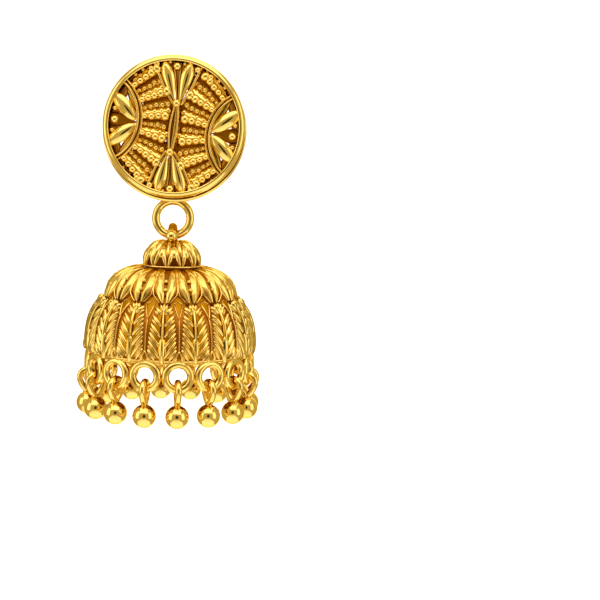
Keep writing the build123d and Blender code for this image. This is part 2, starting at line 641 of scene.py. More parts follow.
class Casting:
    """One piece under construction, in millimetres."""

    def __init__(self, name: str) -> None:
        """Start an empty piece.

        Args:
            name: the piece's name.
        """
        self.name = name
        self.shape = bmesh.new()
        self.relief = self.shape.verts.layers.float.new(RELIEF)

    def stamp(
        self,
        motif: bpy.types.Mesh,
        place: Place,
        relief: tuple[float, float] = (0.0, 1.0),
        metal: Metal = Metal.POLISHED,
    ) -> None:
        """Add a copy of a motif.

        Args:
            motif: a flat mesh in millimetres.
            place: where each of its points goes.
            relief: relief given to its lowest and highest points.
            metal: state of the gold on its faces.
        """
        first_vert, first_face = len(self.shape.verts), len(self.shape.faces)
        self.shape.from_mesh(motif)
        self.shape.verts.ensure_lookup_table()
        self.shape.faces.ensure_lookup_table()
        added = self.shape.verts[first_vert:]
        top = max(vert.co.z for vert in added)
        low, high = relief
        for vert in added:
            share = min(max(vert.co.z / top, 0.0), 1.0) if top > 0 else 1.0
            vert[self.relief] = low + (high - low) * share
            vert.co = place(vert.co)
        for face in self.shape.faces[first_face:]:
            face.material_index = metal

    def turn(
        self,
        outline: Sequence[tuple[float, float]],
        centre: Vector,
        axis: Vector,
        out: Vector,
        steps: int,
        relief: float = 1.0,
        metal: Metal = Metal.POLISHED,
    ) -> None:
        """Spin an outline into a round wall or ring.

        Args:
            outline: points of distance from the axis and distance along it.
            centre: a point on the axis.
            axis: direction of the axis.
            out: direction away from the axis in which the outline is drawn.
            steps: number of steps in the full turn.
            relief: relief given to its points.
            metal: state of the gold on its faces.
        """
        shape = bmesh.new()
        verts = [shape.verts.new(centre + out * r + axis * h) for r, h in outline]
        edges = [shape.edges.new(pair) for pair in [*zip(verts, verts[1:]), (verts[-1], verts[0])]]
        bmesh.ops.spin(
            shape,
            geom=verts + edges,
            cent=centre,
            axis=axis,
            angle=FULL_TURN,
            steps=steps,
            use_merge=True,
        )
        self.take(shape, relief=relief, metal=metal)

    def take(self, shape: bmesh.types.BMesh, relief: float, metal: Metal = Metal.POLISHED) -> None:
        """Join a finished bmesh to the piece.

        Args:
            shape: the bmesh, freed afterwards.
            relief: relief given to all its points.
            metal: state of the gold on its faces.
        """
        layer = shape.verts.layers.float.new(RELIEF)
        for vert in shape.verts:
            vert[layer] = relief
        for face in shape.faces:
            face.material_index = metal
        self.shape.from_mesh(to_mesh(shape))

    def wall(
        self,
        outline: Sequence[tuple[float, float]],
        axis_y: float,
        steps: int,
        metal: Metal = Metal.POLISHED,
    ) -> None:
        """Spin an outline of radius and height about an upright axis, its relief 0 all over, so that it
        is painted in the finish's shade colour.
        """
        self.turn(outline, Vector((0, axis_y, 0)), UP, FRONT, steps=steps, relief=0.0, metal=metal)

    def ring(
        self,
        centre: Vector,
        axis: Vector,
        radius: float,
        wire: float,
        steps: int = 64,
        sides: int = 16,
        metal: Metal = Metal.POLISHED,
    ) -> None:
        """Spin a round wire ring.

        Args:
            centre: middle of the ring.
            axis: direction square to its plane.
            radius: radius of the wire's centreline.
            wire: radius of the wire.
            steps: steps round the ring.
            sides: sides of the wire.
            metal: state of the gold on its faces.
        """
        out = axis.orthogonal().normalized()
        section = [
            (radius + wire * math.cos(k * FULL_TURN / sides), wire * math.sin(k * FULL_TURN / sides))
            for k in range(sides)
        ]
        self.turn(section, centre, axis, out, steps=steps, metal=metal)

    def ball(self, centre: Vector, radius: float, segments: int = 32, relief: float = 1.0) -> None:
        """Add a ball.

        Args:
            centre: its middle.
            radius: its radius.
            segments: segments round it.
            relief: relief given to its points.
        """
        shape = bmesh.new()
        bmesh.ops.create_uvsphere(
            shape,
            u_segments=segments,
            v_segments=segments * 2 // 3,
            radius=radius,
            matrix=Matrix.Translation(centre),
        )
        self.take(shape, relief=relief)

    def finish(
        self, body: str, finishes: Sequence[bpy.types.Material], replaces: Sequence[str] = ()
    ) -> bpy.types.Object:
        """Clean the piece and hand it over to the frame.

        Args:
            body: the body that it rides on.
            finishes: its materials, in order of index.
            replaces: fixed nodes that it stands for.

        Returns:
            The finished piece.
        """
        shape = self.shape
        bmesh.ops.remove_doubles(shape, verts=shape.verts, dist=MERGE_DISTANCE)
        bmesh.ops.dissolve_degenerate(shape, edges=shape.edges, dist=SLIVER)
        bmesh.ops.recalc_face_normals(shape, faces=shape.faces)
        bmesh.ops.scale(shape, vec=(MM, MM, MM), verts=shape.verts)
        for face in shape.faces:
            face.smooth = True
        mesh = to_mesh(shape, self.name)
        piece = bpy.data.objects.new(self.name, mesh)
        bpy.context.scene.collection.objects.link(piece)
        for material in finishes:
            mesh.materials.append(material)
        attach(piece, body)
        if replaces:
            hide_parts(*replaces)
        log.info("%s: %d faces", self.name, len(mesh.polygons))
        return piece


@dataclass
class GoldShop:
    """The finishes, made once and shared by every piece."""

    polished: bpy.types.Material = field(init=False)
    cast: bpy.types.Material = field(init=False)
    shaded_satin: bpy.types.Material = field(init=False)
    painted_shade: bpy.types.Material = field(init=False)

    def __post_init__(self) -> None:
        """Make the materials."""
        self.polished = POLISHED.make()
        self.cast = CAST.make()
        self.shaded_satin = SHADED_SATIN.make()
        self.painted_shade = PAINTED_SHADE.make()

    def set(self) -> list[bpy.types.Material]:
        """The materials in the order of the pieces' indexes."""
        return [self.polished, self.cast, self.shaded_satin, self.painted_shade]


# ---------------------------------------------------------------- the stud


@dataclass
class Stud:
    """Openwork stud: rolled rim, filigree wires, leaves and rows of granules over a deep bed."""

    shop: GoldShop
    box: NodeBox = field(default_factory=lambda: NodeBox.read("stud_disc"))
    turn_angle: float = math.radians(-6.5)
    rim_width: float = 0.84
    floor: float = 0.3
    crown: float = 0.3
    arc_centre: float = 1.155
    arc_radius: float = 0.675
    fan_reference: float = 9.0
    arc_half_angle: float = math.radians(54)
    arc_steps: int = 9
    mouth_lean: float = 0.13
    mouth_start: float = 0.35
    rung_angles: tuple[float, ...] = (-43.75, -26.25, -8.75, 8.75, 26.25, 43.75)
    rung_reach: tuple[float, ...] = (1.165, 1.15, 1.075, 1.075, 1.15, 1.165)
    low_angles: tuple[float, ...] = (-35, -17.5, 0, 17.5, 35)
    low_reach: tuple[float, ...] = (1.19, 1.12, 1.06, 1.12, 1.19)
    seed_of_chance: int = 11

    def __post_init__(self) -> None:
        """Work out the radius, start the dice and shape the shared granules."""
        self.radius = self.box.size.x / 2
        self.dice = random.Random(self.seed_of_chance)
        self.small_bead = bead(0.44)
        self.low_bead = bead(0.42)

    def on_disc(self, point: Vector) -> Vector:
        """Place a point of the flat pattern on the stud's face.

        Args:
            point: across, up and out, in millimetres.

        Returns:
            Its place in the frame, in millimetres.
        """
        c, s = math.cos(self.turn_angle), math.sin(self.turn_angle)
        x, y = point.x * c - point.y * s, point.x * s + point.y * c
        swell = self.crown * (1 - (x * x + y * y) / self.radius**2)
        return Vector((x, self.box.high.y - self.floor - point.z - swell, y))

    def fan(self, side: int, angle: float) -> Place:
        """Open a motif out like a fan from the middle of a side arc.

        Args:
            side: 1 for the right half, -1 for the left.
            angle: degrees from the arc's middle line.

        Returns:
            A function from (across, distance from the arc's middle, out) to the pattern.
        """
        turn = math.radians(angle)

        def put(point: Vector) -> Vector:
            """Place one point.

            Args:
                point: across, distance from the arc's middle, and out.

            Returns:
                Its place in the flat pattern.
            """
            spread = turn + point.x / self.fan_reference
            middle = self.arc_centre * self.radius
            return Vector(
                (side * (middle - point.y * math.cos(spread)), point.y * math.sin(spread), point.z)
            )

        return put

    def lean(self, side: int, end: int, x: float, y: float) -> tuple[float, float]:
        """Place a point of a trumpet, whose mouth leans a little off the spine's line."""
        return side * x - end * self.mouth_lean * (y - self.mouth_start), end * y

    def flat(self, *pairs: tuple[float, float]) -> list[tuple[float, float]]:
        """Scale pattern points from shares of the radius to millimetres."""
        return [(x * self.radius, y * self.radius) for x, y in pairs]

    def build_rim(self) -> bpy.types.Object:
        """Spin the back flange and the rolled band in front of it, a little higher.

        Returns:
            The finished piece.
        """
        outer, depth = self.radius, self.box.size.y
        rim = Casting("stud_rim")
        flange = [
            (outer - 1.0, 0.0),
            (outer - 0.12, 0.0),
            (outer, 0.1),
            (outer, 0.42),
            (outer - 0.1, 0.55),
            (outer - 1.0, 0.55),
        ]
        rim.turn(flange, Vector((0, 0, -0.3)), FRONT, RIGHT, steps=160)
        band_out = outer - 0.17
        band_in = band_out - self.rim_width
        swell, roll = band_out - band_in - 0.12, 0.64
        shoulder = [
            (band_out - swell + swell * math.sin(a), depth - roll + roll * math.cos(a))
            for a in np.linspace(math.radians(90), math.radians(6), 12)
        ]
        band = [
            (band_in, 0.5),
            (band_out - 0.2, 0.5),
            (band_out, 0.8),
            *shoulder,
            (band_in + 0.05, depth - 0.03),
            (band_in, depth - 0.14),
            (band_in, depth - 0.4),
        ]
        rim.turn(band, Vector((0.02, 0, 0.15)), FRONT, RIGHT, steps=160)
        # A dark ring paints the shade in the groove between the band and the flange.
        groove = [(outer - 0.6, 0.5), (outer - 0.17, 0.5), (outer - 0.17, 0.6), (outer - 0.6, 0.6)]
        rim.turn(groove, Vector((0, 0, -0.14)), FRONT, RIGHT, steps=160, relief=0.0, metal=Metal.PAINTED_SHADE)
        return rim.finish("stud", self.shop.set(), ["stud_disc"])

    def build_bed(self) -> bpy.types.Object:
        """Lay the deep plates under the filigree, with small openings left between them; low relief and
        dark finishes paint them with the shade under the filigree.

        Returns:
            The finished piece.
        """
        bed = Casting("stud_bed")
        ring = [(7.9, 0.28), (9.3, 0.28), (9.3, 0.6), (7.9, 0.6)]
        bed.turn(ring, Vector(), FRONT, RIGHT, steps=128, relief=0.2, metal=Metal.CAST)
        pad = [(0.02, 0.02), (1.9, 0.02), (1.9, 0.4), (0.02, 0.4)]
        bed.turn(pad, Vector(), FRONT, RIGHT, steps=48, relief=0.0, metal=Metal.CAST)
        start = self.arc_radius * self.radius
        for side in (1, -1):
            for angle, reach in zip(self.low_angles, self.low_reach):
                gap = self.dice.choice((0.0, 0.0, 0.5))
                length = reach * self.radius - start + 0.45 - gap
                plate = Seed(
                    length=length, half_width=1.04, height=0.3, depth=0.25, ridge=3, fullness=1,
                    blunt=0.97, around=12, along=10,
                )
                place = chain(shift(0, start + gap, 0.3), self.fan(side, angle), self.on_disc)
                bed.stamp(plate.draw(), place, relief=(0.1, 0.4), metal=Metal.PAINTED_SHADE)
            for angle in (-50, 50):
                corner = Seed(
                    length=3.1, half_width=0.7, height=0.14, depth=0.25, ridge=8, fullness=1,
                    blunt=0.97, around=12, along=10,
                )
                place = chain(shift(0, 6.9, 0.3), self.fan(side, angle), self.on_disc)
                bed.stamp(corner.draw(), place, relief=(0.2, 0.2), metal=Metal.CAST)
            between = Seed(
                length=4.4, half_width=1.05, height=0.2, depth=0.25, ridge=8, fullness=0.6,
                belly=2.0, around=12, along=14,
            )
            ends = self.flat((side * 0.5, 0), (side, 0))
            bed.stamp(
                between.draw(),
                chain(lay(*ends, lift=0.4), self.on_disc),
                relief=(0.6, 1.0),
                metal=Metal.SHADED_SATIN,
            )
            for end in (1, -1):
                beside = Seed(
                    length=5.8, half_width=0.66, height=0.2, depth=0.25, ridge=8, fullness=0.5,
                    belly=1.2, around=12, along=14,
                )
                ends = self.flat((side * 0.5, end * 0.05), (side * 0.745, end * 0.62))
                bed.stamp(
                    beside.draw(),
                    chain(lay(*ends, lift=0.25), self.on_disc),
                    relief=(0.1, 0.6),
                    metal=Metal.CAST,
                )
        for end in (1, -1):
            mouth = Seed(
                length=6.2, half_width=1.3, height=0.2, depth=0.25, ridge=8, fullness=0.6,
                belly=2.2, around=12, along=14,
            )
            ends = self.flat((0, end * 0.3), (0, end))
            bed.stamp(
                mouth.draw(),
                chain(lay(*ends, lift=0.25), self.on_disc),
                relief=(0.1, 0.3),
                metal=Metal.CAST,
            )
        spine = Seed(
            length=7.0, half_width=1.05, height=0.85, depth=0.25, ridge=5, fullness=0.4, around=12,
            along=14,
        )
        bed.stamp(
            spine.draw(),
            chain(lay((0, -3.5), (0, 0), lift=0.3), self.on_disc),
            relief=(0.6, 1.0),
            metal=Metal.SHADED_SATIN,
        )
        return bed.finish("stud", self.shop.set())

    def wire(
        self,
        casting: Casting,
        points: Sequence[tuple[float, float]],
        radius: float,
        height: float,
        lift: float,
    ) -> None:
        """Run a wire through pattern points.

        Args:
            casting: the piece that it joins.
            points: points in shares of the radius.
            radius: half the wire's width.
            height: how far it stands up from its foot.
            lift: height of its foot.
        """
        line = Line3(self.flat(*points))
        motif = Seed(
            length=line.length, half_width=radius, height=height, depth=lift, fullness=1,
            blunt=0.85, around=10, along=30,
        )
        casting.stamp(
            motif.draw(), chain(follow(line), shift(0, 0, lift), self.on_disc), relief=(0.5, 1.0)
        )

    def arc_points(self, side: int, offset: float = 0.0) -> list[tuple[float, float]]:
        """Find points along a side arc.

        Args:
            side: 1 for the right half, -1 for the left.
            offset: how much wider the arc is drawn, in shares of the radius.

        Returns:
            Points in shares of the radius, from the arc's low end to its high end.
        """
        radius = self.arc_radius + offset
        return [
            (side * (self.arc_centre - radius * math.cos(a)), radius * math.sin(a))
            for a in np.linspace(-self.arc_half_angle, self.arc_half_angle, self.arc_steps)
        ]

    def build_wires(self) -> bpy.types.Object:
        """Lay the side arcs, the trumpet wires and the spine, with a thin bar between its two wires.

        Returns:
            The finished piece.
        """
        wires = Casting("stud_wires")
        for side in (1, -1):
            self.wire(wires, self.arc_points(side, -0.02), radius=0.28, height=0.7, lift=1.35)
            self.wire(wires, self.arc_points(side, 0.03), radius=0.26, height=0.6, lift=1.15)
            for end in (1, -1):
                for path, width, lift in (
                    (((0.05, 0.32), (0.165, 0.5), (0.27, 0.73), (0.35, 0.89)), 0.28, 1.3),
                    (((0.01, 0.36), (0.02, 0.56), (0.035, 0.74), (0.05, 0.9)), 0.16, 0.8),
                    (((0.03, 0.35), (0.11, 0.53), (0.22, 0.75), (0.29, 0.9)), 0.18, 0.9),
                ):
                    self.wire(
                        wires,
                        [self.lean(side, end, *spot) for spot in path],
                        radius=width,
                        height=0.6,
                        lift=lift,
                    )
            spine = [(side * x, y) for x, y in ((0.022, -0.33), (0.05, 0.0), (0.022, 0.33))]
            self.wire(wires, spine, radius=0.24, height=0.7, lift=1.35)
        self.wire(
            wires, [(0.008, -0.31), (0.014, 0.0), (0.004, 0.31)], radius=0.24, height=0.55, lift=1.3
        )
        return wires.finish("stud", self.shop.set())

    def build_leaves(self) -> bpy.types.Object:
        """Set the eight leaves.

        Returns:
            The finished piece.
        """
        leaves = Casting("stud_leaves")
        for end in (1, -1):
            for side in (1, -1):
                slim = Seed(
                    length=5.75, half_width=0.82, height=0.4, depth=1.4, ridge=2.0, fullness=0.62,
                    belly=1.6, around=16, along=20,
                )
                ends = self.lean(side, end, 0.035, 0.355), self.lean(side, end, 0.185, 0.905)
                foot, tip = self.flat(*ends)
                leaves.stamp(slim.draw(), chain(lay(foot, tip, lift=1.6), self.on_disc), relief=(0.7, 1))
                plump = Seed(
                    length=4.95, half_width=1.0, height=0.48, depth=1.4, ridge=2.0, fullness=0.52,
                    belly=1.1, around=16, along=20,
                )
                foot, tip = self.flat((side * 0.53, end * 0.025), (side * 0.875, end * 0.345))
                leaves.stamp(
                    plump.draw(), chain(lay(foot, tip, lift=1.6), self.on_disc), relief=(0.7, 1)
                )
        return leaves.finish("stud", self.shop.set())

    def granules(self) -> list[tuple[float, float, float, float]]:
        """List the granules that stand alone.

        Returns:
            For each one x and y in shares of the disc's radius, then its radius and lift.
        """
        found = [(0, 0.337 * end, 0.58, 1.6) for end in (1, -1)]
        found += [(0.82 * side, 0, 0.56, 1.3) for side in (1, -1)]
        found += [(*self.lean(0, end, 0, 0.84), 0.56, 1.2) for end in (1, -1)]
        for side in (1, -1):
            for end in (1, -1):
                found += [
                    (side * 0.84, end * 0.15, 0.34, 1.2),
                    (*self.lean(side, end, 0.285, 0.83), 0.46, 1.3),
                    (side * 0.415, end * 0.76, 0.44, 1.2),
                    (*self.lean(side, end, 0.1, 0.885), 0.28, 1.1),
                    (side * 0.62, end * 0.645, 0.28, 0.9),
                    (side * 0.53, end * 0.73, 0.3, 0.9),
                ]
        return found

    def build_granules(self) -> bpy.types.Object:
        """Lay the rungs with their granule rows, the low rows between them and the single granules.

        Returns:
            The finished piece.
        """
        rows = Casting("stud_granules")
        for side in (1, -1):
            for angle, reach in zip(self.rung_angles, self.rung_reach):
                self.rung(rows, side, angle, reach)
            for angle, reach in zip(self.low_angles, self.low_reach):
                self.low_row(rows, side, angle, reach)
        for x, y, radius, lift in self.granules():
            (place,) = self.flat((x, y))
            rows.stamp(
                bead(radius, detail=3), chain(shift(*place, lift), self.on_disc), relief=(0.2, 0.9)
            )
        return rows.finish("stud", self.shop.set())

    def spoke(self, side: int, angle: float, reach: float, gap: float) -> tuple[float, Place]:
        """Find where a bar of the fan runs.

        Args:
            side: 1 for the right half, -1 for the left.
            angle: degrees from the arc's middle line.
            reach: where it ends, in shares of the radius from the arc's centre.
            gap: how far from the side arc it starts, in shares of the radius.

        Returns:
            Its length, and a function that places motifs along it.
        """
        start = (self.arc_radius + gap) * self.radius
        length = reach * self.radius - start
        return length, chain(shift(0, start, 0), self.fan(side, angle), self.on_disc)

    def rung(self, casting: Casting, side: int, angle: float, reach: float) -> None:
        """Lay one high bar with a row of granules on top and smaller ones down one side.

        Args:
            casting: the piece that it joins.
            side: 1 for the right half, -1 for the left.
            angle: degrees from the arc's middle line.
            reach: where it ends, in shares of the radius from the arc's centre.
        """
        length, put = self.spoke(side, angle, reach, gap=0.02)
        bar = Seed(
            length=length, half_width=0.84, height=0.74, depth=0.5, ridge=2, fullness=1, blunt=0.97,
            around=12, along=10,
        )
        casting.stamp(bar.draw(), chain(shift(0.16, 0, 0.66), put), relief=(0.55, 1.0))
        count = round(length / GRANULE_PITCH)
        for k in range(count):
            spot = (self.dice.uniform(-0.05, 0.05) - 0.1, (k + 0.5) * length / count, 0.9)
            radius = 0.62 if k == count - 1 else 0.56 + self.dice.uniform(-0.03, 0.03)
            casting.stamp(bead(radius), chain(shift(*spot), put), relief=(0.6, 1))
            spot = (0.5, (k + 0.95) * length / count, 0.5 + self.dice.uniform(-0.08, 0.08))
            casting.stamp(self.small_bead, chain(shift(*spot), put), relief=(0.4, 1.0))

    def low_row(self, casting: Casting, side: int, angle: float, reach: float) -> None:
        """Lay one low bar with a row of small granules.

        Args:
            casting: the piece that it joins.
            side: 1 for the right half, -1 for the left.
            angle: degrees from the arc's middle line.
            reach: where it ends, in shares of the radius from the arc's centre.
        """
        length, put = self.spoke(side, angle, reach, gap=0.03)
        bar = Seed(
            length=length, half_width=0.54, height=0.46, depth=0.4, ridge=2, fullness=1, blunt=0.95,
            around=12, along=10,
        )
        # Low relief paints these lower rows darker, as shade between the rungs.
        casting.stamp(bar.draw(), chain(shift(0, 0, 0.3), put), relief=(0.4, 0.9), metal=Metal.CAST)
        count = round(length / GRANULE_PITCH)
        for k in range(count):
            spot = (self.dice.uniform(-0.15, 0.15), (k + 0.5) * length / count, 0.34)
            casting.stamp(self.low_bead, chain(shift(*spot), put), relief=(0.0, 0.6), metal=Metal.CAST)

    def build(self) -> None:
        """Make every piece of the stud."""
        self.build_rim()
        self.build_bed()
        self.build_wires()
        self.build_leaves()
        self.build_granules()


@dataclass
class LinkRing:
    """Closed ring of round wire behind the stud's lower edge."""

    shop: GoldShop
    box: NodeBox = field(default_factory=lambda: NodeBox.read("link_ring"))

    def build(self) -> None:
        """Spin the ring."""
        wire = self.box.size.y / 2 + 0.02
        radius = self.box.size.x / 2 - wire + 0.03
        ring = Casting("link_ring_wire")
        ring.ring(self.box.centre, Vector((0, 1, 0)), radius=radius, wire=wire, steps=96, sides=24)
        ring.finish("stud", self.shop.set(), ["link_ring"])


# ---------------------------------------------------------------- the bell


@dataclass
class Cap:
    """Lotus cap with its wire loop."""

    shop: GoldShop
    box: NodeBox = field(default_factory=lambda: NodeBox.read("bell_cap"))
    petals: int = 12
    phase: float = math.radians(10)

    def __post_init__(self) -> None:
        """Work out the outline."""
        base = self.box.low.z
        self.axis_y = self.box.centre.y
        self.dome = Dome(
            [
                (0.05, base + 3.5),
                (1.0, base + 3.46),
                (2.05, base + 3.26),
                (2.78, base + 2.8),
                (3.32, base + 2.2),
                (3.66, base + 1.5),
                (3.84, base + 0.8),
                (3.88, base + 0.2),
            ],
            self.axis_y,
        )

    def build_dome(self) -> bpy.types.Object:
        """Spin the wall, then set the petals, the lobes between them and the rim wire.

        Returns:
            The finished piece.
        """
        cap = Casting("cap_lotus")
        length = self.dome.length
        outer = self.dome.points_to(length, 16)
        inner = [(max(r - 0.5, 0.02), h - 0.45) for r, h in reversed(outer)]
        # The wall shows only in the grooves between petals; its dark finish paints the shade there.
        cap.wall(outer + inner, self.axis_y, steps=96, metal=Metal.PAINTED_SHADE)
        body = Seed(
            length=2.6, half_width=0.66, height=0.42, depth=0.2, ridge=1.8, fullness=0.75,
            belly=1.6, around=14, along=20,
        ).draw()
        leg = Seed(
            length=3.4, half_width=0.38, height=0.4, depth=0.2, ridge=1.6, fullness=0.6, belly=0.8,
            around=12, along=20,
        ).draw()
        lobe = Seed(
            length=3.9, half_width=0.42, height=0.46, depth=0.1, ridge=1.5, fullness=0.6,
            belly=0.85, around=12, along=18,
        ).draw()
        tongue = Seed(
            length=1.9, half_width=0.4, height=0.3, depth=0.1, ridge=2.0, fullness=0.6, belly=1.3,
            around=10, along=12,
        ).draw()
        for k in range(self.petals):
            turn = k * FULL_TURN / self.petals + self.phase
            put = self.dome.place(turn)
            cap.stamp(tongue, self.dome.place(turn, 0.7), relief=(0.6, 1.0), metal=Metal.SHADED_SATIN)
            cap.stamp(body, self.dome.place(turn, 2.1), relief=(0.2, 1.0))
            for side in (1, -1):
                path = Line3([(side * 0.22, 2.7), (side * 0.42, 4.2), (side * 0.9, length + 0.05)])
                cap.stamp(leg, chain(trim(path.length), follow(path), put), relief=(0.0, 1.0))
            half = math.pi / self.petals
            cap.stamp(lobe, self.dome.place(turn + half, 0.75), relief=(0.0, 1.0))
        base = Vector((0, self.axis_y, self.box.low.z + 0.2))
        for offset in (0.02, -0.25):
            cap.ring(base, UP, radius=self.box.size.x / 2 + offset, wire=0.13, steps=96, sides=10)
        return cap.finish("bell", self.shop.set(), ["bell_cap"])

    def build_loop(self) -> bpy.types.Object:
        """Spin the upright ring, widen it, and seat it on two bellies and two feet.

        Returns:
            The finished piece.
        """
        loop = Casting("cap_loop")
        top = self.box.high.z
        wire, radius, widening = 0.5, 1.28, 1.16
        centre = Vector((0, self.axis_y, top - radius - wire))
        # The loop's dark orange finish paints the shade over its top.
        loop.ring(centre, RIGHT, radius=radius, wire=wire, steps=64, sides=20, metal=Metal.SHADED_SATIN)
        for vert in loop.shape.verts:
            vert.co.x *= widening
        # A dark dot on each belly paints the shade of a small dimple.
        pit = bead(0.17)
        for end in (-1, 1):
            belly = Vector((0, self.axis_y + end * 1.62, centre.z + 0.05))
            loop.ball(belly, radius=0.84, segments=32)
            cheek = belly + Vector((0, end * 0.74, 0))
            put = chain(shift(*cheek), shift(0, 0, -0.14))
            loop.stamp(pit, put, relief=(0, 0), metal=Metal.PAINTED_SHADE)
            foot = Vector((0, self.axis_y + end * 1.15, centre.z - 0.95))
            loop.ball(foot, radius=0.6, segments=24)
        return loop.finish("bell", self.shop.set())

    def build(self) -> None:
        """Make both pieces of the cap."""
        self.build_dome()
        self.build_loop()


@dataclass
class Crown:
    """Shallow dome of sixteen pairs of leaves, their tips over the wheat ears."""

    shop: GoldShop
    box: NodeBox = field(default_factory=lambda: NodeBox.read("bell_crown"))

    def __post_init__(self) -> None:
        """Work out the outline."""
        top, foot = self.box.high.z, self.box.low.z
        self.axis_y = self.box.centre.y
        self.dome = Dome(
            [
                (3.6, top - 0.1),
                (4.9, top - 0.16),
                (6.1, top - 0.46),
                (7.15, top - 1.02),
                (8.04, top - 1.78),
                (8.64, top - 2.66),
                (9.0, top - 3.5),
                (9.2, foot),
                (9.3, foot - 0.5),
            ],
            self.axis_y,
        )

    def build(self) -> bpy.types.Object:
        """Spin the wall and set the leaves on it.

        Returns:
            The finished piece.
        """
        crown = Casting("crown_leaves")
        wall_end = self.dome.run_to(self.box.low.z + 1.2)
        outer = self.dome.points_to(wall_end, 18)
        last = len(outer) - 1
        inner = [(r - 0.35 * k / last, h - 0.55 + 0.3 * k / last) for k, (r, h) in enumerate(outer)]
        crown.wall(outer + inner[::-1], self.axis_y, steps=128, metal=Metal.CAST)
        tip = self.dome.run_to(self.box.low.z) + 0.18
        start = 0.45
        reach = tip - start
        leaf = Seed(
            length=reach + 0.14, half_width=0.62, height=0.34, depth=0.35, ridge=1.3, fullness=1.1,
            belly=1.3, around=16, along=26,
        ).draw()
        under = Seed(
            length=reach - 0.1, half_width=0.8, height=0.1, depth=0.35, ridge=5.0, fullness=0.8,
            belly=1.3, around=12, along=20,
        ).draw()
        edge = Seed(
            length=reach * 0.72, half_width=0.11, height=0.34, depth=0.3, ridge=2.0, fullness=1,
            blunt=0.8, around=8, along=20,
        ).draw()
        lobe = Seed(
            length=2.9, half_width=0.5, height=0.36, depth=0.1, ridge=2.0, fullness=0.6, belly=1.0,
            around=12, along=14,
        ).draw()
        minor = Seed(
            length=2.2, half_width=0.3, height=0.36, depth=0.2, ridge=1.6, fullness=0.7, belly=1.0,
            around=12, along=14,
        ).draw()
        granule = bead(0.25)
        for k in range(REPEATS):
            angle = k * REPEAT_ANGLE
            put = self.dome.place(angle)
            for side in (1, -1):
                path = Line3(
                    [
                        (side * 0.42, start),
                        (side * 0.84, start + 0.56 * reach),
                        (side * 0.24, tip + 0.12),
                    ]
                )
                crown.stamp(
                    leaf,
                    chain(follow(path), shift(0, 0, 0.14), put),
                    relief=(0.5, 1.0),
                    metal=Metal.CAST,
                )
                # A low plate under each leaf, given almost no relief: its dark colour paints the shade
                # under the leaf.
                plate = Line3(
                    [(side * 0.45, start), (side * 0.9, start + 0.58 * reach), (side * 0.3, tip - 0.2)]
                )
                crown.stamp(under, chain(follow(plate), put), relief=(0.0, 0.1), metal=Metal.CAST)
                rim = Line3(
                    [
                        (side * 1.35, start + 0.3 * reach),
                        (side * 1.62, tip - 1.9),
                        (side * 1.3, tip - 1.05),
                        (side * 0.24, tip + 0.12),
                    ]
                )
                crown.stamp(edge, chain(follow(rim), put), relief=(0.6, 1.0), metal=Metal.CAST)
            between = self.dome.place(angle + REPEAT_ANGLE / 2)
            crown.stamp(lobe, chain(shift(0, 0.5, 0), between), relief=(0.3, 1.0), metal=Metal.SHADED_SATIN)
            crown.stamp(minor, chain(shift(0, 1.7, 0.05), between), relief=(0.5, 1.0), metal=Metal.CAST)
            for run in (0.55, 0.72):
                crown.stamp(granule, chain(shift(0, start + run * reach, 0.1), put), relief=(0.9, 1.0))
        return crown.finish("bell", self.shop.set(), ["bell_crown"])


